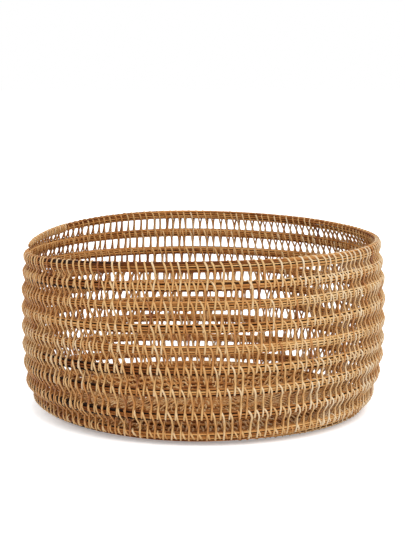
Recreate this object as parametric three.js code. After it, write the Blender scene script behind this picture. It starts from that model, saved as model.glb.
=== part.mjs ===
import * as THREE from 'three';

const { clamp, lerp, smoothstep } = THREE.MathUtils;

// Round storage basket in open coiled work. Millimetres, +Z up, the origin on the floor
// under the middle of the base. One bundle of canes winds out from the centre disc, over
// the heel and up the wall to the rim, and split-cane strands lash each turn to the next.
// Each turn of the bundle and each row of lashing is a solid of its own.

// The basket as a whole
const outerDiameter = 450; // widest, over the strands
const bellyHeight = 116; // where the wall is widest
const wallBowRadius = 760; // inward bow of the wall above the belly
const footInset = 14; // how far the wall comes in between belly and floor
const footSweep = 2.75; // power of that curve, higher for a squarer foot
const rimHeight = 221; // bundle's centreline at the rim's free end, before it dips
const heelRun = 10; // bend between base and wall, measured along each

// The bundle of canes
const coilPitch = 23.5; // centre to centre of neighbouring turns
const coilHeight = 9.8;
const coilWidth = 6.6; // at mid height
const coilEdgeWidth = 3.4; // across the top and the bottom
const rimCoilHeight = 12.4;
const rimTopWidth = 5.4;
const rimBottomWidth = 1.8;
const rimSwellTurns = 0.12; // share of a turn over which the bundle grows to rim size

// The rim's free end, which dips onto the turn below it
const rimDipTurns = 0.103; // where it leaves the rim's line, in turns before the end
const rimSeatTurns = 0.047; // where it has come down, in turns before the end
const rimTipHeight = 6.4;
const rimTipWidth = 4.4;
const rimDipRings = 10;

// The strands
const strandWidth = 2.8;
const strandThickness = 1.2;
const clearance = 0.3; // between any two pieces

// The disc that the bundle starts from
const discHeight = 10.4;
const discEdgeRound = 2.6;
const discSides = 28;

const wallRowLengths = 4; // lengths of strand that lash one turn of the wall

// Fineness, and where a lashing stitch stands in its share of a turn
const wallSegments = 32; // rings and stitches in a wide turn
const shortestSegment = 26; // a turn with shorter ones has half as many
const stitchShares = [
  0.15, // front of the upper coil
  0.5, // inside of the lower coil
  0.65, // front of the lower coil
  1, // inside of the upper coil
];
const edgeShare = 0.28; // share of a leg that lies beside its upper coil, or its lower
const smallestBend = 0.04; // radians between two coils, past which a leg bends with the wall

// A strand's leg runs straight from the front of one coil to the inside of the next, so
// it stands off far enough at the top to clear the coil's middle and its lower edge.
function legReach(upperHeight, bottomWidth) {
  const over = upperHeight / 2 + clearance;
  const run = coilPitch + over + coilHeight / 2 + clearance + strandThickness;
  const atMiddle = over / run;
  const atBottom = (over + upperHeight / 2) / run;
  return Math.max(
    (coilWidth / 2 + clearance + strandThickness * atMiddle) / (1 - 2 * atMiddle),
    (bottomWidth / 2 + clearance + strandThickness * atBottom) / (1 - 2 * atBottom),
  );
}

const strandReach = Math.max(
  legReach(coilHeight, coilEdgeWidth),
  legReach(rimCoilHeight, rimBottomWidth),
);
const wallHalf = strandReach + strandThickness;
const baseHeight = wallHalf; // bundle's centreline over the floor

// The profile that the centreline winds along: flat base, heel, wall
function wallRadius(height) {
  const above = height - bellyHeight;
  const inset = above > 0
    ? above ** 2 / (2 * wallBowRadius)
    : footInset * (-above / bellyHeight) ** footSweep;
  return outerDiameter / 2 - wallHalf - inset;
}

class WallCurve extends THREE.Curve {
  getPoint(share, target = new THREE.Vector2()) {
    const height = lerp(baseHeight + heelRun, rimHeight, share);
    return target.set(wallRadius(height), height);
  }
}

const footRadius = wallRadius(baseHeight);
const heelStart = new THREE.Vector2(footRadius - heelRun, baseHeight);
const heelCorner = new THREE.Vector2(footRadius, baseHeight);
const wallCurve = new WallCurve();
const profile = new THREE.CurvePath();
profile.add(new THREE.LineCurve(new THREE.Vector2(0, baseHeight), heelStart));
profile.add(new THREE.QuadraticBezierCurve(heelStart, heelCorner, wallCurve.getPoint(0)));
profile.add(wallCurve);
const profileLength = profile.getLength();
const baseLength = profile.getCurveLengths()[1];

// Whole turns are counted back from the rim's free end at the left. The first starts at
// least a pitch from the middle, and the disc fills what is left there.
const turnCount = Math.floor(profileLength / coilPitch) - 1;
const startRadius = profileLength - turnCount * coilPitch;
const baseTurns = Math.round((baseLength - startRadius) / coilPitch - 0.5);
const lastTurn = turnCount - 1;

// The tip rests on the strands of the turn below, which lie over that turn's top.
const tipSeat = coilHeight / 2 + clearance + strandThickness + clearance + rimTipHeight / 2;
const rimDip = coilPitch - tipSeat;

function smooth(value) {
  return smoothstep(value, 0, 1);
}

function dipShare(turns) {
  return smooth((turns - turnCount + rimDipTurns) / (rimDipTurns - rimSeatTurns));
}

// Centreline point at a number of turns from the start, with the wall's outward
// direction and its upward one. The spiral runs anticlockwise seen from above.
function exactFrame(turns) {
  const share = (startRadius + coilPitch * turns) / profileLength;
  const point = profile.getPointAt(Math.min(share, 1));
  const slope = profile.getTangentAt(Math.min(share, 1));
  const angle = Math.PI * (1 + 2 * turns);
  const aside = new THREE.Vector3(Math.cos(angle), Math.sin(angle), 0);
  const up = aside.clone().multiplyScalar(slope.x).setZ(slope.y);
  const out = aside.clone().multiplyScalar(slope.y).setZ(-slope.x);
  const centre = aside.multiplyScalar(point.x).setZ(point.y);
  centre.addScaledVector(up, -rimDip * dipShare(turns));
  return { centre, out, up };
}

function segmentsOf(turn) {
  const radius = profile.getPointAt((startRadius + coilPitch * (turn + 0.5)) / profileLength).x;
  let segments = wallSegments;
  while ((2 * Math.PI * radius) / segments < shortestSegment && segments > 16) segments /= 2;
  return segments;
}

// Rings of one turn, as shares of it: evenly spaced, and closer where the rim dips
function ringShares(turn) {
  const segments = segmentsOf(turn);
  const shares = Array.from({ length: segments + 1 }, (_, ring) => ring / segments);
  if (turn < lastTurn) return shares;
  const dip = Array.from(
    { length: rimDipRings + 1 },
    (_, ring) => 1 - rimDipTurns * (1 - ring / rimDipRings),
  );
  return [...shares.filter((share) => share < 1 - rimDipTurns - 1e-6), ...dip];
}

const turnRings = Array.from({ length: turnCount }, (_, turn) =>
  ringShares(turn).map((share) => ({ share, ...exactFrame(turn + share) })),
);

// Frame on the faceted bundle: between two rings it runs straight, as the canes do
function frameAt(turn, share) {
  const rings = turnRings[turn];
  const next = Math.max(1, rings.findIndex((ring) => ring.share >= share));
  const [from, to] = [rings[next - 1], rings[next]];
  const between = (share - from.share) / (to.share - from.share);
  return {
    centre: from.centre.clone().lerp(to.centre, between),
    out: from.out.clone().lerp(to.out, between),
    up: from.up.clone().lerp(to.up, between),
  };
}

// The disc fills the first turn, up to a clearance from the strands on the nearest of its
// straight runs.
const baseMiddle = new THREE.Vector3(0, 0, baseHeight);
const nearestRun = Math.min(...turnRings[0].slice(1).map((ring, index) =>
  new THREE.Line3(turnRings[0][index].centre, ring.centre)
    .closestPointToPoint(baseMiddle, true, new THREE.Vector3())
    .distanceTo(baseMiddle),
));
const discRadius = nearestRun - coilHeight / 2 - clearance - strandThickness - clearance;

function offset(frame, outward, upward) {
  return frame.centre.clone().addScaledVector(frame.out, outward).addScaledVector(frame.up, upward);
}

// Height and widths of the bundle's section along the spiral
function coilSection(turn, share) {
  const swell = turn < lastTurn ? 0 : smooth(share / rimSwellTurns);
  const taper = turn < lastTurn ? 0 : dipShare(turn + share);
  const grown = (coil, rim, tip) =>
    lerp(lerp(coil, rim, swell), tip, taper);
  return {
    height: grown(coilHeight, rimCoilHeight, rimTipHeight),
    middle: grown(coilWidth, coilWidth, rimTipWidth),
    top: grown(coilEdgeWidth, rimTopWidth, rimTipWidth / 2),
    bottom: grown(coilEdgeWidth, rimBottomWidth, rimTipWidth / 2),
  };
}

// A closed solid through rings of points, which all have as many and turn the same way
function solidThrough(rings) {
  const sides = rings[0].length;
  const positions = rings.flat().flatMap((point) => point.toArray());
  const faces = [];
  for (let ring = 0; ring + 1 < rings.length; ring += 1) {
    for (let side = 0; side < sides; side += 1) {
      const near = ring * sides + side;
      const beside = ring * sides + ((side + 1) % sides);
      faces.push(near, beside, beside + sides, near, beside + sides, near + sides);
    }
  }
  const last = (rings.length - 1) * sides;
  for (let side = 1; side + 1 < sides; side += 1) {
    faces.push(0, side + 1, side, last, last + side, last + side + 1);
  }
  const geometry = new THREE.BufferGeometry();
  geometry.setAttribute('position', new THREE.Float32BufferAttribute(positions, 3));
  geometry.setIndex(faces);
  geometry.computeVertexNormals();
  return geometry;
}

// One turn of the bundle, its ends a clearance short of the turns before and after
function coilGeometry(turn) {
  const rings = turnRings[turn];
  const endGap = clearance / (4 * Math.PI * rings[0].centre.length());
  const shares = rings.map(({ share }) => clamp(share, endGap, 1 - endGap));
  return solidThrough(shares.map((share) => {
    const frame = frameAt(turn, share);
    const { height, middle, top, bottom } = coilSection(turn, share);
    return [
      offset(frame, -top / 2, height / 2),
      offset(frame, top / 2, height / 2),
      offset(frame, middle / 2, 0),
      offset(frame, bottom / 2, -height / 2),
      offset(frame, -bottom / 2, -height / 2),
      offset(frame, -middle / 2, 0),
    ];
  }));
}

// A strand's section is a triangle, the two ends of its flat and its ridge. Where it would
// pass below the floor, under the heel, it is pressed flat on it.
function strandSection(flat, ridge, along) {
  const corners = [
    flat.clone().addScaledVector(along, -strandWidth / 2),
    flat.clone().addScaledVector(along, strandWidth / 2),
    ridge,
  ];
  return corners.map((corner) => corner.setZ(Math.max(corner.z, 0)));
}

function alongOf(frame) {
  return new THREE.Vector3().crossVectors(frame.up, frame.out).normalize();
}

// The strand where it bends round a coil. Its flat lies on the upper coil and its ridge
// on the lower one, because the strand crosses over between them.
function strandRing(turn, share, outSide, upSide) {
  const frame = frameAt(turn, share);
  const over = coilSection(turn, share).height / 2 + clearance;
  const inner = offset(frame, outSide * strandReach, upSide * over);
  const outer = offset(
    frame,
    outSide * (strandReach + strandThickness),
    upSide * (over + strandThickness),
  );
  const [flat, ridge] = upSide > 0 ? [inner, outer] : [outer, inner];
  return strandSection(flat, ridge, alongOf(frame));
}

// Round the heel the coils turn against each other, so a leg also bends where it leaves
// the edge of one and meets the edge of the other. Elsewhere it runs straight past both.
function edgeRing(turn, share, outSide, upSide, ridgeSide) {
  const frame = frameAt(turn, share);
  const { height, top, bottom } = coilSection(turn, share);
  const past = (upSide > 0 ? top : bottom) / 2 + clearance + strandThickness / 2;
  const point = offset(frame, outSide * past, upSide * (height / 2 + clearance / 2));
  const flat = point.clone().addScaledVector(frame.out, (-ridgeSide * strandThickness) / 2);
  const ridge = point.clone().addScaledVector(frame.out, (ridgeSide * strandThickness) / 2);
  return strandSection(flat, ridge, alongOf(frame));
}

function bendBetween(upper, lower, share) {
  return frameAt(upper, share).out.angleTo(frameAt(lower, share).out);
}

// Where a length of strand meets the next one, it stops a clearance short of it.
function ringShortOf(ring, next) {
  return ring.map((corner, index) => {
    const run = next[index].clone().sub(corner);
    return corner.clone().addScaledVector(run, 1 - clearance / run.length());
  });
}

// Lashing between two neighbouring turns: one length of strand in figures of eight round both
function lashingGeometry(lower, length, lengths) {
  const upper = lower + 1;
  const stitches = segmentsOf(lower);
  const reach = upper < lastTurn ? 1 : 1 - rimDipTurns;
  const first = Math.round((stitches * length) / lengths);
  const next = Math.min(
    Math.round((stitches * (length + 1)) / lengths),
    Math.floor(stitches * reach),
  );
  const rings = [];
  for (let stitch = first; stitch < next; stitch += 1) {
    const [start, down, under, up] = stitchShares.map((share) => (stitch + share) / stitches);
    const bent = bendBetween(upper, lower, start) > smallestBend;
    rings.push(strandRing(upper, start, 1, 1));
    if (bent) {
      rings.push(
        edgeRing(upper, lerp(start, down, edgeShare), 1, -1, 1),
        edgeRing(lower, lerp(down, start, edgeShare), -1, 1, 1),
      );
    }
    rings.push(strandRing(lower, down, -1, -1), strandRing(lower, under, 1, -1));
    if (bent) {
      rings.push(
        edgeRing(lower, lerp(under, up, edgeShare), 1, 1, -1),
        edgeRing(upper, lerp(up, under, edgeShare), -1, -1, -1),
      );
    }
    rings.push(strandRing(upper, up, -1, 1));
  }
  if (length + 1 < lengths) {
    const nextStart = strandRing(upper, (next + stitchShares[0]) / stitches, 1, 1);
    rings.push(ringShortOf(rings.at(-1), nextStart));
  }
  return solidThrough(rings);
}

// The centre disc: a closely wound start, flat below and slightly crowned above
function discGeometry() {
  return new THREE.LatheGeometry([
    new THREE.Vector2(0, 0),
    new THREE.Vector2(discRadius - discEdgeRound, 0),
    new THREE.Vector2(discRadius, discEdgeRound),
    new THREE.Vector2(discRadius, discHeight - discEdgeRound),
    new THREE.Vector2(discRadius - discEdgeRound, discHeight),
    new THREE.Vector2(0, discHeight + discEdgeRound / 2),
  ], discSides);
}

function material(color, roughness) {
  return new THREE.MeshStandardMaterial({ color, roughness, metalness: 0 });
}

const basket = new THREE.Group();

function addPiece(name, geometry, finish) {
  const mesh = new THREE.Mesh(geometry, finish);
  mesh.name = name;
  basket.add(mesh);
}

function turnName(turn) {
  if (turn < baseTurns) return `base_coil_${turn + 1}`;
  return turn < lastTurn ? `wall_coil_${turn - baseTurns + 1}` : 'rim_coil';
}

function lashingName(lower, length) {
  if (lower + 1 < baseTurns) return `base_lashing_${lower + 1}`;
  if (lower + 1 === baseTurns) return `heel_lashing_${length + 1}`;
  if (lower + 1 === lastTurn) return `rim_lashing_${length + 1}`;
  return `wall_lashing_${lower - baseTurns + 1}_${length + 1}`;
}

addPiece('centre_disc', discGeometry().rotateX(Math.PI / 2), material(0xa9783f, 0.6));
for (let turn = 0; turn < turnCount; turn += 1) {
  addPiece(turnName(turn), coilGeometry(turn), material(0x7d5429, 0.55));
}
for (let lower = 0; lower < lastTurn; lower += 1) {
  const lengths = lower + 1 < baseTurns ? 1 : wallRowLengths;
  for (let length = 0; length < lengths; length += 1) {
    addPiece(
      lashingName(lower, length),
      lashingGeometry(lower, length, lengths),
      material(0xc9995a, 0.5),
    );
  }
}

export default basket;
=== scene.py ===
from math import pi, radians

import bpy
import numpy as np
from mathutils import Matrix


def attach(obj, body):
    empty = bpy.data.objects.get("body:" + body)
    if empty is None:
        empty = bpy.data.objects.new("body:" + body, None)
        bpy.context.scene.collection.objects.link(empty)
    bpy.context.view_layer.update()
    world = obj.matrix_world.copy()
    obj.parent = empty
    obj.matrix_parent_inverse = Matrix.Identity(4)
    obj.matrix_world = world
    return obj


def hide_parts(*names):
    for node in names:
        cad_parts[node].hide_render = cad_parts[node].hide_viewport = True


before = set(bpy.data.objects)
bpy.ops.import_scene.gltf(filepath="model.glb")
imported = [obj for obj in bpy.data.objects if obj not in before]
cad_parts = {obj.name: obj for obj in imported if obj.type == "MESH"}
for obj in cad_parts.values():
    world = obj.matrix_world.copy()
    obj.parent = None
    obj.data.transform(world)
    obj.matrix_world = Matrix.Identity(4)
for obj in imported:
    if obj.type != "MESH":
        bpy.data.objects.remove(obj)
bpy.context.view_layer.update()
print("frame loaded:", len(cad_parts), "pieces")

randomness = np.random.default_rng(seed=411)
millimetre = 0.001


# A share between 0 and 1, eased at both ends: three times its square less twice its cube
def smooth(value):
    value = np.clip(value, 0, 1)
    return value * value * (3 - 2 * value)


# The value that lies a share of the way from the first to the second
def mix(a, b, share):
    return a + (b - a) * share


# Each vector divided by its own length
def unit(vectors):
    return vectors / np.linalg.norm(vectors, axis=-1, keepdims=True)


# From a start, so far along one direction and so far along another
def reach(start, first, a, second, b):
    return start + first * a[..., None] + second * b[..., None]


# Length of a path up to each of its points: the running sum of the steps between them
def runLength(path):
    return np.concatenate([[0], np.cumsum(np.linalg.norm(np.diff(path, axis=0), axis=1))])


# The basket's form in metres: the line that the middle of the cane bundle winds along
form = {
    "outerDiameter": 0.450,
    "bellyHeight": 0.116,
    "wallBowRadius": 0.760,
    "footInset": 0.014,
    "footSweep": 2.75,  # power by which the wall draws in below the belly
    "rimHeight": 0.221,
    "heelRun": 0.010,  # how far the bend reaches along the floor and up the wall
    "profilePoints": [80, 40, 500],  # of the floor, the heel and the wall
    "pitch": 0.0235,
    "turns": 16,
    "baseTurns": 7,
    "middleDepth": 0.00715,  # from the widest line in, and from the floor up
    "standOff": 0.0015,  # how far the dressed bundle lies outside that line
    "startTurns": 4,  # wound tight in the middle, before the open work
    "startPitch": 0.0098,
    "innermost": 0.001,  # where the winding starts
    "dipTurns": 0.2,  # the free end leaves the rim's line this long before it
    "dip": 0.0142,
    "floorGap": 0.0002,  # no cane or strand comes lower
}

# How each turn departs from an even winding, from the last turn of the base to the rim, at its
# left, its front, its right and its back: mm along the wall and mm into the basket. Then the
# same at the free end, and the lightness added to it, partly its own tone and partly painted light.
unevenness = {
    "lift": [
        [0.0, 0.0, 0.0, 0.0],
        [4.0, -6.0, 0.0, -6.5],
        [2.5, -4.0, 3.0, -7.0],
        [2.5, -0.2, 1.5, -3.0],
        [1.0, 1.1, -2.0, -1.8],
        [-0.3, 0.9, -2.4, -1.0],
        [-1.1, 1.1, -0.5, -1.0],
        [-2.1, 2.7, 0.5, -1.7],
        [-3.6, 0.4, -2.0, 0.0],
        [-8.0, -1.5, -4.2, 1.2],
    ],
    "tuck": [
        [0.0, 0.3, 0.6, 1.6],
        [5.0, 1.5, 3.6, 3.0],
        [-0.4, 0.5, 0.6, 1.5],
        [0.0, 0.0, -0.6, 0.0],
        [0.0, 0.0, -0.8, 0.0],
        [0.0, 0.0, -1.2, 0.0],
        [0.0, 0.0, -1.4, 0.0],
        [0.0, 0.0, -1.4, 0.0],
        [0.0, 0.0, -0.6, 0.0],
        [0.0, 0.0, 0.0, 0.0],
    ],
    "end": {"lift": -8.0, "tuck": 0.0, "shade": 0.1},
}

# The canes are darker at the left of the basket, each turn by its own amount, from the last turn
# of the base to the rim: partly their own darker colour and partly painted shade on the side away
# from the lamp. The first amount at the left also holds over the whole inner base, as painted
# shade. All turns grow paler towards the front right: partly their own paler tone, and partly
# painted light on the side towards the lamp.
stainAndShade = {
    "turns": [0.16, 0.46, 0.48, 0.44, 0.36, 0.16, 0.08, 0.20, 0.40, 0.18],
    "course": [1, 0.7, 0, 0, 0, 0, 0, 0.4],  # share of it, each eighth of a turn from the left
    "lighterAndLit": [0.02, 0, -0.02, 0.19, 0.09, 0.09, 0.09, 0.04],  # lightness of all turns, likewise
}
unevenness["shade"] = np.array(stainAndShade["lighterAndLit"]) - np.outer(stainAndShade["turns"], stainAndShade["course"])


# Radius and height against the length run from the centre. The floor is a straight line, the heel
# a quadratic bend, and the wall leans in as the square of the height above the belly and as a
# power of the depth below it.
def windProfile():
    depth, run = form["middleDepth"], form["heelRun"]
    floorPoints, heelPoints, wallPoints = form["profilePoints"]

    def wall(height):
        above = height - form["bellyHeight"]
        bowed = above**2 / (2 * form["wallBowRadius"])
        share = np.clip(-above, 0, None) / form["bellyHeight"]
        swept = form["footInset"] * share ** form["footSweep"]
        return form["outerDiameter"] / 2 - depth - np.where(above > 0, bowed, swept)

    foot = float(wall(depth))
    floorLine = np.linspace([0.0, depth], [foot - run, depth], floorPoints)
    corner = np.array([foot, depth])
    heelEnd = np.array([float(wall(depth + run)), depth + run])
    t = np.linspace(0, 1, heelPoints)[1:, None]
    heel = (1 - t) ** 2 * floorLine[-1] + 2 * t * (1 - t) * corner + t**2 * heelEnd
    heights = np.linspace(depth + run, form["rimHeight"], wallPoints)[1:]
    path = np.concatenate([floorLine, heel, np.stack([wall(heights), heights], axis=1)])
    length = runLength(path)
    return length, path, np.gradient(path, length, axis=0)


profileLength, profilePath, profileSlope = windProfile()
startRadius = profileLength[-1] - form["turns"] * form["pitch"]


# Length of the profile that lies inside the bundle after so many turns: the start radius plus the
# pitch for each turn. The tight start counts back from the first open turn, at its own pitch.
def windLength(turns):
    pitch = np.where(turns < 0, form["startPitch"], form["pitch"])
    return np.clip(startRadius + pitch * turns, form["innermost"], profileLength[-1])


# The columns of a table along the profile, after so many turns: straight between its points
def alongProfile(turns, table):
    length = windLength(turns)
    return [np.interp(length, profileLength, column) for column in table.T]


# A kind of unevenness after so many turns: smooth steps between the entries of its table, which
# are evenly spaced in a turn, a row a turn
def unevenBy(turns, key):
    table = np.append(np.array(unevenness[key]).ravel(), unevenness["end"][key])
    steps = len(unevenness[key][0])
    place = np.clip((turns - form["baseTurns"] + 1) * steps, 0, len(table) - 1)
    whole = np.minimum(place.astype(int), len(table) - 2)
    return mix(table[whole], table[whole + 1], smooth(place - whole))


# How far the free end has come down onto the turn below: the square of the share of the way run
def dipShare(turns):
    return np.clip((turns - form["turns"] + form["dipTurns"]) / form["dipTurns"], 0, 1) ** 2


# Middle, outward and upward directions of the bundle after so many turns. The angle is half a
# turn plus the turns, radius and height come from the profile, and upward is along it. Then the
# middle moves along the wall and across it by the unevenness and the dip.
def windFrame(turns):
    radius, height = alongProfile(turns, profilePath)
    outSlope, upSlope = alongProfile(turns, profileSlope)
    angle = pi * (1 + 2 * turns)
    aside = np.stack([np.cos(angle), np.sin(angle), np.zeros_like(angle)], axis=-1)
    top = np.array([0.0, 0.0, 1.0])
    up = unit(reach(0, aside, outSlope, top, upSlope))
    out = unit(reach(0, aside, upSlope, top, -outSlope))
    middle = reach(0, aside, radius, top, height)
    rise = unevenBy(turns, "lift") * millimetre - form["dip"] * dipShare(turns)
    fromLine = form["standOff"] - unevenBy(turns, "tuck") * millimetre
    return reach(middle, up, rise, out, fromLine), out, up


# Faces of tubes side by side in one mesh: squares between neighbouring rings, and a fan over
# each end. Ring points run from outward towards upward.
def tubeFaces(tubes, rings, sides):
    row, side = np.arange(rings - 1)[:, None] * sides, np.arange(sides)[None]
    near, beside = row + side, row + (side + 1) % sides
    walls = np.stack([near, near + sides, beside + sides, beside], axis=-1).reshape(-1, 4)
    step = np.arange(1, sides - 1)
    fan = np.stack([0 * step, step, step + 1], axis=1)
    ends = np.concatenate([fan, fan[:, ::-1] + (rings - 1) * sides])
    shift = np.arange(tubes)[:, None, None] * rings * sides
    return (walls + shift).reshape(-1, 4).tolist() + (ends + shift).reshape(-1, 3).tolist()


# An object at the origin that shows a mesh, lamp or camera
def addObject(name, data):
    thing = bpy.data.objects.new(name, data)
    bpy.context.scene.collection.objects.link(thing)
    return thing


# A smooth mesh that rides on the basket. No point is lower than the floor gap, and each mark is
# kept on the points: as a vector where it has three values a point, and otherwise as a number.
def addPiece(name, points, faces, marks, material, slot, *nodes):
    points[..., 2] = np.maximum(points[..., 2], form["floorGap"])
    mesh = bpy.data.meshes.new(name)
    mesh.from_pydata(points.reshape(-1, 3), [], faces)
    mesh.polygons.foreach_set("use_smooth", np.ones(len(faces), bool))
    for key, values in marks.items():
        vector = values.size == points.size
        kind, field = ("FLOAT_VECTOR", "vector") if vector else ("FLOAT", "value")
        mark = mesh.attributes.new(key, kind, "POINT")
        mark.data.foreach_set(field, values.astype(np.float32).ravel())
    mesh.materials.append(material)
    piece = addObject(name, mesh)
    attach(piece, "root")
    if nodes:
        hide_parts(*nodes)


# A screen colour as linear light: its darkest part divided by the slope, and the rest shifted and
# raised to the power
def paint(code):
    knee, slope, offset, power = 0.04045, 12.92, 0.055, 2.4
    share = np.array([int(code[k:k + 2], 16) for k in (0, 2, 4)]) / 255
    linear = np.where(share <= knee, share / slope, ((share + offset) / (1 + offset)) ** power)
    return (*linear.tolist(), 1.0)


# A shader node with its settings. An input, given by its name or as in0, in1 and so on, is linked
# where it comes from another node, and otherwise set.
def addNode(tree, kind, settings=None, **inputs):
    node = tree.nodes.new("ShaderNode" + kind)
    for key, value in (settings or {}).items():
        setattr(node, key, value)
    for key, value in inputs.items():
        socket = node.inputs[int(key[2:]) if key.startswith("in") else key]
        if isinstance(value, bpy.types.NodeSocket):
            tree.links.new(value, socket)
        else:
            socket.default_value = value
    return node


# The result of one sum, such as ADD or POWER, on numbers and the results of other nodes
def calculate(tree, operation, *terms):
    inputs = {f"in{place}": term for place, term in enumerate(terms)}
    return addNode(tree, "Math", {"operation": operation}, **inputs).outputs[0]


# A share turned into a colour: straight between neighbouring stops, each a place and a colour
def addRamp(tree, share, stops):
    ramp = addNode(tree, "ValToRGB", in0=share)
    points = ramp.color_ramp.elements
    while len(points) < len(stops):
        points.new(0.5)
    for point, (place, colour) in zip(points, stops):
        point.position, point.color = place, paint(colour)
    return ramp.outputs[0]


# A mark that addPiece kept on the points, as one number or as a vector
def readMark(tree, key, output="Fac"):
    return addNode(tree, "Attribute", {"attribute_name": key}).outputs[output]


# Noise along the fibres: the piece's own straightened coordinates, drawn out along its length
def fibreNoise(tree, along, across):
    drawn = addNode(tree, "Mapping", Vector=readMark(tree, "grain", "Vector"))
    drawn.inputs["Scale"].default_value = (along, across, across)
    noise = addNode(tree, "TexNoise", Vector=drawn.outputs[0], Scale=1.0, Detail=3.0)
    return noise.outputs["Fac"]


# A plain material, with its nodes and its shader
def startMaterial(name):
    material = bpy.data.materials.new(name)
    material.use_nodes = True
    tree = material.node_tree
    return material, tree, tree.nodes["Principled BSDF"]


# A cane's finish. The ramp's colour goes by the tone of the point plus two noises, fibres and
# patches, that swing as far up as down. A darker colour, painted shade, lies over it by a share of
# a power of the mark: in the creases between round canes, and along the sides of a strand. The
# fibres raise the surface.
def caneMaterial(name, finish):
    material, tree, shader = startMaterial(name)
    fibres, patches = (fibreNoise(tree, *finish[key]) for key in ("fibres", "patches"))
    share = readMark(tree, "tone")
    for noise, swing in ((fibres, finish["fibreSwing"]), (patches, finish["patchSwing"])):
        swung = calculate(tree, "MULTIPLY_ADD", noise, swing, -swing / 2)
        share = calculate(tree, "ADD", share, swung)
    colour = addRamp(tree, share, finish["ramp"])
    mark = calculate(tree, "POWER", readMark(tree, finish["mark"]), finish["shadePower"])
    shadeCover = calculate(tree, "MULTIPLY", mark, finish["shadeShare"])
    blend = addNode(tree, "Mix", {"data_type": "RGBA"}, in0=shadeCover, in6=colour)
    blend.inputs[7].default_value = paint(finish["shadeColour"])
    tree.links.new(blend.outputs[2], shader.inputs["Base Color"])
    shader.inputs["Roughness"].default_value = finish["roughness"]
    shader.inputs["Specular IOR Level"].default_value = finish["shine"]
    strength, height = finish["bump"]
    bump = addNode(tree, "Bump", Height=fibres, Strength=strength, Distance=height)
    tree.links.new(bump.outputs[0], shader.inputs["Normal"])
    return material


caneFinish = {
    # dark, brown, tan, pale and bleached, by lightness
    "ramp": [(0, "381a0a"), (0.28, "7a4219"), (0.55, "b97c41"), (0.8, "d8a76a"), (1, "e8c693")],
    "fibres": (22, 1500),  # scale of the noise along the cane and across it
    "patches": (55, 160),
    "fibreSwing": 0.5,  # lightness between the lowest and the highest
    "patchSwing": 0.55,
    # painted shade in the creases between the canes: its mark, power, share and colour
    "mark": "creaseShade",
    "shadePower": 1,
    "shadeShare": 0.92,
    "shadeColour": "1c0d05",
    "roughness": 0.6,
    "shine": 0.1,
    "bump": (0.35, 0.0004),  # strength, and height in metres
}
strandFinish = {
    # burnt, honey, gold and straw
    "ramp": [(0, "83491f"), (0.34, "be8241"), (0.66, "d4ab71"), (1, "e8d6b6")],
    "fibres": (40, 2200),
    "patches": (70, 90),
    "fibreSwing": 0.36,
    "patchSwing": 0.5,
    # painted shade along the sides of the strand
    "mark": "edgeShade",
    "shadePower": 2.6,
    "shadeShare": 0.85,
    "shadeColour": "7f4718",
    "roughness": 0.42,
    "shine": 0.4,
    "bump": (0.25, 0.0003),
}
roundCane = caneMaterial("roundCane", caneFinish)
splitCane = caneMaterial("splitCane", strandFinish)
print("finishes: round cane and split cane")

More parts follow.
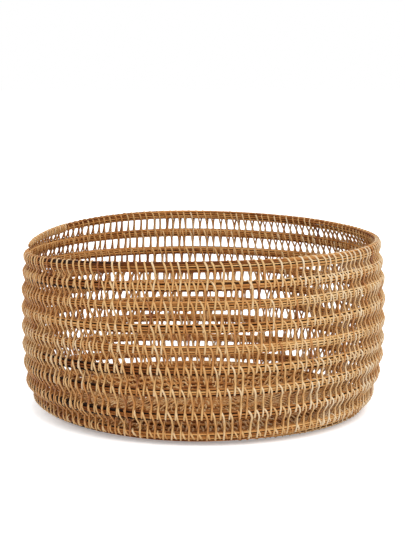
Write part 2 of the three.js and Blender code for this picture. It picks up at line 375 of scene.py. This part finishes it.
# The bundle of round canes
bundle = {
    # each cane's outward and upward place in the section and its radius in mm, and its lightness
    "plain": [
        (2.30, 3.7, 1.25, 0.50), (2.45, 1.3, 1.25, 0.50),  # outside
        (2.45, -1.2, 1.25, 0.50), (2.30, -3.7, 1.20, 0.45),
        (-2.30, 3.7, 1.25, 0.56), (-2.45, 1.3, 1.30, 0.50),  # inside
        (-2.45, -1.3, 1.25, 0.50), (-2.30, -3.7, 1.20, 0.44),
        (0.0, 3.9, 1.25, 0.50), (0.0, -3.9, 1.25, 0.36),  # top and bottom
        # the core canes are painted near black all over, as shade between the outer canes
        (0.0, 1.4, 1.90, 0.02), (0.0, -1.5, 1.90, 0.02),  # dark core
    ],
    # the same canes in the rim, where the bottom one comes up to the middle of the outside
    "rim": [
        (2.10, 4.6, 1.20, 0.32), (2.50, 2.5, 1.10, 0.28),
        (2.55, -2.1, 1.30, 0.52), (2.20, -4.6, 1.25, 0.46),
        (-2.10, 4.6, 1.25, 0.38), (-2.50, 2.2, 1.30, 0.36),
        (-2.50, -0.4, 1.20, 0.54), (-2.40, -3.1, 1.30, 0.64),
        (0.0, 5.0, 1.20, 0.38), (2.75, 0.6, 0.75, 0.66),
        # the core again, painted near black as shade
        (0.0, 2.0, 2.30, 0.02), (0.0, -2.4, 2.30, 0.02),
    ],
    # upward place, radius and lightness of the four outside canes at the front of each turn of
    # the wall, foot to rim
    "front": [
        [(3.8, 1.15, 0.62), (1.3, 1.15, 0.54), (-1.2, 1.15, 0.50), (-3.8, 1.15, 0.40)],
        [(4.5, 0.70, 0.26), (0.9, 1.30, 0.48), (-1.8, 1.20, 0.44), (-4.4, 0.75, 0.24)],
        [(4.4, 0.75, 0.44), (1.5, 1.10, 0.62), (-0.9, 1.05, 0.52), (-3.8, 0.95, 0.44)],
        [(4.6, 0.65, 0.40), (1.3, 1.15, 0.48), (-1.2, 1.10, 0.62), (-4.6, 0.70, 0.36)],
        [(3.9, 1.05, 0.68), (1.4, 1.10, 0.60), (-1.2, 1.10, 0.64), (-3.8, 1.05, 0.50)],
        [(4.6, 0.65, 0.58), (1.1, 1.25, 0.62), (-1.5, 1.10, 0.54), (-4.2, 0.85, 0.46)],
        [(4.0, 0.95, 0.70), (1.6, 1.00, 0.64), (-0.8, 1.00, 0.62), (-3.4, 1.00, 0.50)],
        [(4.7, 0.62, 0.68), (0.8, 1.35, 0.56), (-1.9, 1.25, 0.58), (-4.5, 0.70, 0.34)],
    ],
    "frontPlace": 0.25,  # turns from the left to the front
    "coreTone": 0.1,  # canes darker than this are the core
    # the inside canes take less of their turn's own colour, painted light and painted shade
    "innerShade": 0.4,  # share of a turn's own lightness that its inside canes take
    "sides": 8,
    "stepLength": 0.0085,
    "ringsEachTurn": (40, 160),  # fewest and most
    "swellTurns": 0.12,  # in which the plain section swells to the rim's
    "startScale": 0.64,
    "startGrows": 0.6,  # turns in which the tight start's section grows to the full one
    "tipScale": 0.38,
    "roundTurns": 0.0055,  # the tip is rounded off in these
    "roundDepth": 0.94,
    "roundRings": [1, 0.7, 0.45, 0.25, 0.1],
    "topEnd": 15.797,  # the turn at which the rim's top cane ends
    "topEndRun": 0.0003,  # turns in which it goes under
    "topEndDepth": 1.5,  # mm
    # the canes' random wavers: fewest and most waves a turn for place, girth and tone, and how
    # far each goes
    "placeWaves": (0.5, 8),
    "girthWaves": (0.5, 6),
    "toneWaves": (0.4, 5),
    "placeWaver": 0.26,  # mm
    "girthWaver": 0.07,  # share of the girth
    "toneWaver": 0.13,  # lightness
    "waves": 7,  # added up in each waver
    "waveSizes": (0.4, 1.0),
    "waverPoints": 160,  # in a turn
    "leastTone": 0.01,
    "grainRadius": 0.2,  # the fibres are laid out as on a ring of this size in metres
    "grainShift": 7.3,  # metres of fibre between one cane's and the next one's
    # the painted shade in the creases, on the side of each cane turned from its own direction out
    # of the bundle
    "creaseShadeAim": 1.6,  # divides the upward part of the direction that a cane faces
    "creaseShadeFrom": 0.72,  # cosine of the angle from that direction at which the crease starts
    "creaseShadeRun": 1.1,  # how much lower the cosine is where the crease is full
}
caneCount = len(bundle["plain"])
insideCanes, topCane = slice(4, 8), 8  # their places in the tables


# Share of the rim's section: eased in from the last turn's start
def swellShare(turns):
    return smooth((turns - form["turns"] + 1) / bundle["swellTurns"])


# Scale of the section: small in the tight start, full along the coil, tapered towards the tip
# and rounded off at it like a quarter circle
def sectionScale(turns):
    grows = bundle["startGrows"]
    started = mix(bundle["startScale"], 1, smooth((turns + grows / 2) / grows))
    tapered = started * mix(1, bundle["tipScale"], dipShare(turns))
    toTip = np.clip(1 - (form["turns"] - turns) / bundle["roundTurns"], 0, 1)
    return tapered * np.sqrt(1 - bundle["roundDepth"] * toTip**2)


# Slow random lines of the turns: each is a sum of sine waves of random rate, phase and size, and
# the squares of the sizes add up to 1
def waver(turns, count, rates):
    shape = (count, 1, bundle["waves"])
    rate = randomness.uniform(*rates, shape)
    phase = randomness.uniform(0, 2 * pi, shape)
    size = randomness.uniform(*bundle["waveSizes"], shape)
    size /= np.sqrt((size**2).sum(axis=-1, keepdims=True))
    return (size * np.sin(2 * pi * rate * turns[:, None] + phase)).sum(axis=-1)


allTurns = form["startTurns"] + form["turns"]
caneTurns = np.linspace(-form["startTurns"], form["turns"], bundle["waverPoints"] * allTurns + 1)
caneAside = waver(caneTurns, 2 * caneCount, bundle["placeWaves"])
caneGirth = waver(caneTurns, caneCount, bundle["girthWaves"])
caneTone = waver(caneTurns, caneCount, bundle["toneWaves"])


# Each cane's own line of a waver at its own places: straight between the points worked out above
def alongCanes(turns, table):
    return np.stack([np.interp(turns[cane], caneTurns, table[cane]) for cane in range(caneCount)])


# Outward and upward place, radius and lightness of each cane: the plain section, with the front
# table for the outside canes of the wall, blended into the rim's section where the rim swells.
# Then the canes take the turn's shade, the inside ones less of it and the core none.
def caneLayout(turns):
    plain = np.repeat(np.array(bundle["plain"]).T[:, :, None], turns.shape[1], axis=2)
    front = np.array(bundle["front"])
    rows = form["baseTurns"] + bundle["frontPlace"] + np.arange(len(front))
    onWall = smooth(turns[0] - form["baseTurns"] + 1)
    for cane in range(front.shape[1]):
        for field in range(front.shape[2]):
            wall = np.interp(turns[cane], rows, front[:, cane, field])
            plain[field + 1, cane] = mix(plain[field + 1, cane], wall, onWall)
    layout = mix(plain, np.array(bundle["rim"]).T[:, :, None], swellShare(turns))
    outward, upward, girth, tone = layout
    upward[topCane] -= bundle["topEndDepth"] * (turns[topCane] > bundle["topEnd"])
    shade = unevenBy(turns[0], "shade") * (turns[0] > 0) * (tone > bundle["coreTone"])
    shade[insideCanes] *= bundle["innerShade"]
    return outward, upward, girth, tone + shade


# Places of a length's rings, a row for each cane: evenly spaced by the length of its turn, with
# more where the tip is rounded off and where the top cane ends
def ringPlaces(first, last):
    radius = alongProfile(np.array((first + last) / 2), profilePath)[0]
    rings = np.clip(2 * pi * radius / bundle["stepLength"], *bundle["ringsEachTurn"])
    turns = np.linspace(first, last, int(rings * (last - first)) + 1)
    if last == form["turns"]:
        rounding = last - bundle["roundTurns"] * np.array(bundle["roundRings"])
        topEnd = bundle["topEnd"] + np.array([0, bundle["topEndRun"]])
        turns = np.sort(np.concatenate([turns, rounding, topEnd]))
    return np.tile(turns, (caneCount, 1))


# A length of the bundle: each cane is a tube whose middle keeps its place in the section, plus a
# slow waver, and whose rings are circles across the winding line. The painted shade in the creases
# grows with the angle between a point of the ring and the cane's own direction from the middle of
# the bundle, and the core is painted in shade all over.
def addBundle(first, last, name, *nodes):
    turns = ringPlaces(first, last)
    middle, out, up = windFrame(turns)
    outward, upward, girth, tone = caneLayout(turns)
    scale = sectionScale(turns) * millimetre
    outward = (outward + alongCanes(turns, caneAside[::2]) * bundle["placeWaver"]) * scale
    upward = (upward + alongCanes(turns, caneAside[1::2]) * bundle["placeWaver"]) * scale
    girth = girth * (1 + bundle["girthWaver"] * alongCanes(turns, caneGirth)) * scale
    around = np.linspace(0, 2 * pi, bundle["sides"], endpoint=False)
    ringOut, ringUp = girth[..., None] * np.cos(around), girth[..., None] * np.sin(around)
    pointOut, pointUp = outward[..., None] + ringOut, upward[..., None] + ringUp
    points = reach(middle[:, :, None], out[:, :, None], pointOut, up[:, :, None], pointUp)
    shift = np.arange(caneCount)[:, None] * bundle["grainShift"]
    length = turns * 2 * pi * bundle["grainRadius"] + shift
    grain = np.stack([length[..., None] + 0 * ringOut, ringOut, ringUp], axis=-1)
    wavering = bundle["toneWaver"] * alongCanes(turns, caneTone) * (tone > bundle["coreTone"])
    tone = np.clip(tone + wavering, bundle["leastTone"], 1)[..., None] + 0 * ringOut
    aim = np.arctan2(upward / bundle["creaseShadeAim"], outward)[..., None]
    creaseShade = smooth((bundle["creaseShadeFrom"] - np.cos(around - aim)) / bundle["creaseShadeRun"])
    creaseShade[tone < bundle["coreTone"]] = 1
    marks = {"grain": grain, "tone": tone, "creaseShade": creaseShade}
    faces = tubeFaces(caneCount, turns.shape[1], bundle["sides"])
    addPiece(name, points, faces, marks, roundCane, "cane_bundle", *nodes)


# A turn's piece and the CAD node that it replaces, counted from 1 in the base and in the wall
def turnNames(turn):
    if turn < form["baseTurns"]:
        return f"baseCanes{turn + 1}", f"base_coil_{turn + 1}"
    if turn < form["turns"] - 1:
        row = turn - form["baseTurns"] + 1
        return f"wallCanes{row}", f"wall_coil_{row}"
    return "rimCanes", "rim_coil"


addBundle(-form["startTurns"], 0, "startCanes", "centre_disc")
for turn in range(form["turns"]):
    addBundle(turn, turn + 1, *turnNames(turn))
print("cane bundle:", form["turns"], "turns and the wound start")

# The lashing: one strand in figures of eight round two neighbouring turns
lashing = {
    # the points of a stitch: share of the pitch, share of the way to the lower turn, angles round
    # the upper and the lower turn from outward towards upward in degrees, share of the stitch's
    # own slant, and how much darker it is: painted shade where it sinks in between the turns, and
    # darker where it runs under and inside them
    "path": [
        (0.000, 0.0, 90, 160, 0.00, 0.04),
        (0.090, 0.0, 48, 160, 0.25, 0.00),
        (0.280, 0.0, 12, 160, 0.65, 0.00),
        (0.420, 0.0, -24, 160, 1.00, 0.06),
        (0.475, 0.5, -24, 160, 0.50, 0.26),
        (0.470, 1.0, -24, 160, 0.10, 0.14),
        (0.430, 1.0, 0, 226, 0.00, 0.14),
        (0.375, 1.0, 0, 280, 0.00, 0.12),
        (0.380, 1.0, 0, 330, 0.00, 0.00),
        (0.450, 1.0, 204, 380, 0.10, 0.05),
        (0.500, 0.5, 204, 380, 0.40, 0.26),
        (0.670, 0.0, 204, 380, 0.30, 0.14),
        (0.880, 0.0, 147, 380, 0.10, 0.12),
    ],
    # the strand's six corners: share of the width across, share of the thickness through, and
    # how far it lies at the strand's sides, which darken as painted shade
    "section": [
        (-0.26, 0.5, 0.25), (0.26, 0.5, 0.25), (0.5, 0.0, 1),
        (0.26, -0.5, 0.25), (-0.26, -0.5, 0.25), (-0.5, 0.0, 1),
    ],
    "width": 0.0026,
    "thickness": 0.0021,
    # slant over the upper turn, in shares of the pitch more or less than the path's: upright at
    # the left, leaning most at the right
    "lean": -0.06,
    "leanSwing": 0.19,
    "leanPlace": 0.05,  # turns before the left where it is most upright
    "wallStitches": 138,
    "rimStitches": 144,
    "reach": 0.988,  # share of the rim that is stitched, before the wound tip
    "baseStitch": 0.0096,
    "fewest": 5,
    "shift": 0.5,  # of a stitch, between one row and the next
    "halfDepth": 0.0044,  # from the turn's middle to the strand's, outward
    "halfHeight": 0.0056,
    "rimHalfHeight": 0.0067,
    "corner": 2.5,  # power of the oval: 2 is an ellipse, and more fills its corners
    "softening": 0.2,
    "spacing": 0.09,  # unevenness, as shares of the pitch
    "slant": 0.12,
    "tightness": (-0.0001, 0.0003),
    "widthSpread": 0.07,
    "tone": 0.68,
    "leastTone": 0.03,
    # the strand takes most of the canes' painted light, as a paler painted sheen, and less of their
    # darker colour and painted shade
    "paleTaken": 0.9,  # shares of the canes' shade that the strand takes
    "darkTaken": 0.25,
    "splintTone": (-0.1, 0.08),
    "splintStitches": 30,
    "toneSpread": 0.11,
    "toneLimits": (-0.3, 0.15),
    "darkStitch": 0.4,  # how much darker the few odd stitches are
    "darkShare": 0.025,
}


# Points and outward directions of a strand on a turn, at an angle round its section: an oval with
# its corners filled, as deep and high as the canes and a little tighter or looser
def aroundTurn(turns, angle, tight):
    middle, out, up = windFrame(turns)
    scale = sectionScale(turns)
    height = mix(lashing["halfHeight"], lashing["rimHalfHeight"], swellShare(turns)) * scale + tight
    depth = lashing["halfDepth"] * scale + tight
    cosine, sine, power = np.cos(angle), np.sin(angle), lashing["corner"]
    corner = (np.abs(cosine) ** power + np.abs(sine) ** power) ** (-1 / power)
    point = reach(middle, out, depth * corner * cosine, up, height * corner * sine)
    return point, unit(reach(0, out, cosine / depth, up, sine / height))


# A split cane carried along a path: a six-sided section, as a loop shows the one side and the
# next loop the other. Through is the normal, made square to the path, and across is square to
# both.
def addStrand(name, path, normal, width, tone, *nodes):
    forward = unit(np.gradient(path, axis=0))
    normal = unit(normal - forward * (normal * forward).sum(axis=1, keepdims=True))
    side = np.cross(normal, forward)
    acrossShare, throughShare, edgeShade = np.array(lashing["section"]).T
    across = acrossShare * width[:, None]
    through = throughShare * lashing["thickness"] + 0 * across
    points = reach(path[:, None], side[:, None], across, normal[:, None], through)
    grain = np.stack([runLength(path)[:, None] + 0 * across, across, through], axis=-1)
    marks = {"grain": grain, "edgeShade": edgeShade + 0 * across, "tone": tone[:, None] + 0 * across}
    faces = tubeFaces(1, len(path), len(edgeShade))
    addPiece(name, points, faces, marks, splitCane, "split_cane", *nodes)


# Each point of a line drawn a share of the way to each neighbour, so that bends round off
def soften(line):
    share = lashing["softening"]
    line = line.copy()
    line[1:-1] = (1 - 2 * share) * line[1:-1] + share * (line[:-2] + line[2:])
    return line


# Stitches in a full turn, and how many of them are made: a set count in the wall and the rim,
# where they stop before the wound tip, and the turn's length over a stitch's in the base
def stitchCount(lower):
    if lower == form["turns"] - 2:
        return lashing["rimStitches"], int(lashing["rimStitches"] * lashing["reach"])
    if lower >= form["baseTurns"] - 1:
        return lashing["wallStitches"], lashing["wallStitches"]
    radius = float(alongProfile(np.array(lower + 0.5), profilePath)[0])
    stitches = max(round(2 * pi * radius / lashing["baseStitch"]), lashing["fewest"])
    return stitches, stitches


# Lightness of the stitches' points: the strand's, part of the canes' own colour and painted light
# and shade there, the splint's and the stitch's own, less the painted shade where it sinks in.
# Every so often a splint ends and the next one starts.
def stitchTone(turns, recessShade):
    made, run = len(turns), lashing["splintStitches"]
    splints = randomness.uniform(*lashing["splintTone"], made // run + 1)
    own = np.clip(randomness.normal(0, lashing["toneSpread"], (made, 1)), *lashing["toneLimits"])
    own -= lashing["darkStitch"] * (randomness.uniform(0, 1, (made, 1)) < lashing["darkShare"])
    shade = unevenBy(turns, "shade")
    taken = np.where(shade > 0, lashing["paleTaken"], lashing["darkTaken"]) * shade
    tone = lashing["tone"] + taken + np.repeat(splints, run)[:made, None] + own - recessShade
    return np.clip(tone, lashing["leastTone"], 1)


# A row of lashing on a turn and the one above it. Stitches follow each other at an even pitch,
# and each runs through the table's points, with its own start, slant, tightness and width. The
# lean of the row goes round like a cosine.
def addLashing(lower, name, *nodes):
    stitches, made = stitchCount(lower)
    place, down, upAngle, lowAngle, sway, recessShade = np.array(lashing["path"]).T
    stitch = np.arange(made)[:, None] + lashing["shift"] * (lower % 2)
    spacing = randomness.normal(0, lashing["spacing"], (made, 1))
    slant = randomness.normal(0, lashing["slant"], (made, 1))
    if lower >= form["baseTurns"] - 1:
        around = 2 * pi * (stitch / stitches + lashing["leanPlace"])
        slant += lashing["lean"] - lashing["leanSwing"] * np.cos(around)
    share = np.clip((stitch + place + spacing + slant * sway) / stitches, 0, 1)
    tight = randomness.uniform(*lashing["tightness"], (made, 1))
    onUpper, upperNormal = aroundTurn(lower + 1 + share, np.radians(upAngle), tight)
    onLower, lowerNormal = aroundTurn(lower + share, np.radians(lowAngle), tight)
    path = soften(mix(onUpper, onLower, down[:, None]).reshape(-1, 3))
    normal = mix(upperNormal, -lowerNormal, down[:, None]).reshape(-1, 3)
    widening = 1 + randomness.normal(0, lashing["widthSpread"], (made, 1)) + 0 * share
    width = lashing["width"] * widening
    tone = stitchTone(lower + 1 + share, recessShade)
    addStrand(name, path, normal, width.ravel(), tone.ravel(), *nodes)


# A row's piece and the CAD nodes that it replaces: none in the wound start, one length in a turn
# of the base, and four in the heel, the wall and the rim
def lashingNames(lower):
    lengths = range(1, 5)
    if lower < 0:
        return (f"startLashing{lower + form['startTurns'] + 1}",)
    if lower + 1 < form["baseTurns"]:
        return f"baseLashing{lower + 1}", f"base_lashing_{lower + 1}"
    if lower + 1 == form["baseTurns"]:
        return "heelLashing", *(f"heel_lashing_{k}" for k in lengths)
    if lower + 2 < form["turns"]:
        row = lower - form["baseTurns"] + 1
        return f"wallLashing{row}", *(f"wall_lashing_{row}_{k}" for k in lengths)
    return "rimLashing", *(f"rim_lashing_{k}" for k in lengths)


for lower in range(-form["startTurns"], form["turns"] - 1):
    addLashing(lower, *lashingNames(lower))
print("lashing:", form["turns"] - 1, "rows and the wound start")

tip = {
    "loops": 29,
    "from": 0.088,  # turns before the free end
    "to": 0.0006,
    "pointsEach": 14,
    "width": 0.0029,
    "narrowing": 0.8,
    "tight": -0.0006,
    "tone": 0.62,
    "toneSwing": 0.16,
    "toneRate": 0.37,  # swings in each loop
}


# The tip's whipping: a helix of close loops round the tapered end, narrower towards it, whose
# lightness swings like a sine
def addTipWhipping():
    share = np.linspace(0, 1, tip["loops"] * tip["pointsEach"] + 1)
    turns = form["turns"] - mix(tip["from"], tip["to"], share)
    angle = 2 * pi * tip["loops"] * share
    path, normal = aroundTurn(turns, angle, tip["tight"])
    tone = tip["tone"] + tip["toneSwing"] * np.sin(angle * tip["toneRate"])
    addStrand("tipWhipping", path, normal, tip["width"] * mix(1, tip["narrowing"], share), tone)


addTipWhipping()
print("tip whipping:", tip["loops"], "loops")

# Stage, light and camera
stage = {
    "floorReach": 30.0,
    "floorColour": "fafafa",
    # painted light on the floor, less at the foot and more beyond it
    "floorGlow": [0.3, 0.55],  # at the foot and beyond it
    "glowRadii": [0.194, 0.220],
    "glowShape": [1, 0.93, 1],
    "worldLight": 0.66,
    "lamp": 1.95,
    "lampSoftness": 60,
    "lampTurn": [34, 22],  # degrees from straight down, and to the right
    "cameraPlace": [-0.0004, -1.75, 0.41193],
    "cameraTilt": 0.13787,
    "lens": 94.84,
}


# One on the rays that show the background, the camera's own and those of gloss and glass, and
# otherwise nothing: the greatest of the three
def seenRays(tree):
    path = addNode(tree, "LightPath")
    seen = calculate(tree, "MAXIMUM", path.outputs["Is Camera Ray"], path.outputs["Is Glossy Ray"])
    return calculate(tree, "MAXIMUM", seen, path.outputs["Is Transmission Ray"])


# A pale square floor. It glows on seen rays, with painted light that eases from less at the foot
# to more beyond the contact shadow, so that the shadow fades out close to the foot.
def addFloor():
    mesh = bpy.data.meshes.new("studioFloor")
    corners = np.array([[-1, -1, 0], [1, -1, 0], [1, 1, 0], [-1, 1, 0]]) * stage["floorReach"]
    mesh.from_pydata(corners, [], np.array([[0, 1, 2, 3]]))
    material, tree, shader = startMaterial("paleFloor")
    shader.inputs["Base Color"].default_value = paint(stage["floorColour"])
    shader.inputs["Roughness"].default_value = 1.0
    shader.inputs["Specular IOR Level"].default_value = 0.0
    place = addNode(tree, "TexCoord").outputs["Object"]
    shape = stage["glowShape"]
    shaped = addNode(tree, "VectorMath", {"operation": "MULTIPLY"}, in0=place, in1=shape)
    away = addNode(tree, "VectorMath", {"operation": "LENGTH"}, in0=shaped.outputs[0])
    eased = {"interpolation_type": "SMOOTHSTEP"}
    spread = addNode(tree, "MapRange", eased, Value=away.outputs["Value"])
    limits = "From Min", "From Max", "To Min", "To Max"
    for key, value in zip(limits, stage["glowRadii"] + stage["floorGlow"]):
        spread.inputs[key].default_value = value
    glow = calculate(tree, "MULTIPLY", seenRays(tree), spread.outputs["Result"])
    tree.links.new(glow, shader.inputs["Emission Strength"])
    shader.inputs["Emission Color"].default_value = (1, 1, 1, 1)
    mesh.materials.append(material)
    floor = addObject("studioFloor", mesh)


# Plain white light from all round, at full strength on seen rays, and one soft lamp from above
def addLight():
    world = bpy.data.worlds.new("studioWorld")
    bpy.context.scene.world = world
    world.use_nodes = True
    tree = world.node_tree
    background = tree.nodes["Background"]
    background.inputs["Color"].default_value = (1, 1, 1, 1)
    plain = stage["worldLight"]
    strength = calculate(tree, "MULTIPLY_ADD", seenRays(tree), 1 - plain, plain)
    tree.links.new(strength, background.inputs["Strength"])
    lamp = bpy.data.lights.new("softLamp", "SUN")
    lamp.energy = stage["lamp"]
    lamp.angle = radians(stage["lampSoftness"])
    fromDown, toRight = map(radians, stage["lampTurn"])
    addObject("softLamp", lamp).rotation_euler = (fromDown, 0, toRight)


# A camera in front of the basket, upright and tilted down
def addCamera():
    camera = bpy.data.cameras.new("photoCamera")
    camera.lens = stage["lens"]
    holder = addObject("photoCamera", camera)
    holder.location = stage["cameraPlace"]
    holder.rotation_euler = (pi / 2 - stage["cameraTilt"], 0, 0)
    bpy.context.scene.camera = holder


addFloor()
addLight()
addCamera()
bpy.context.scene.view_settings.view_transform = "Standard"
print("stage ready")

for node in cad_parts.values():
    if not node.data.materials:
        node.data.materials.append(roundCane)
    for slot in node.material_slots:
        slot.material = roundCane
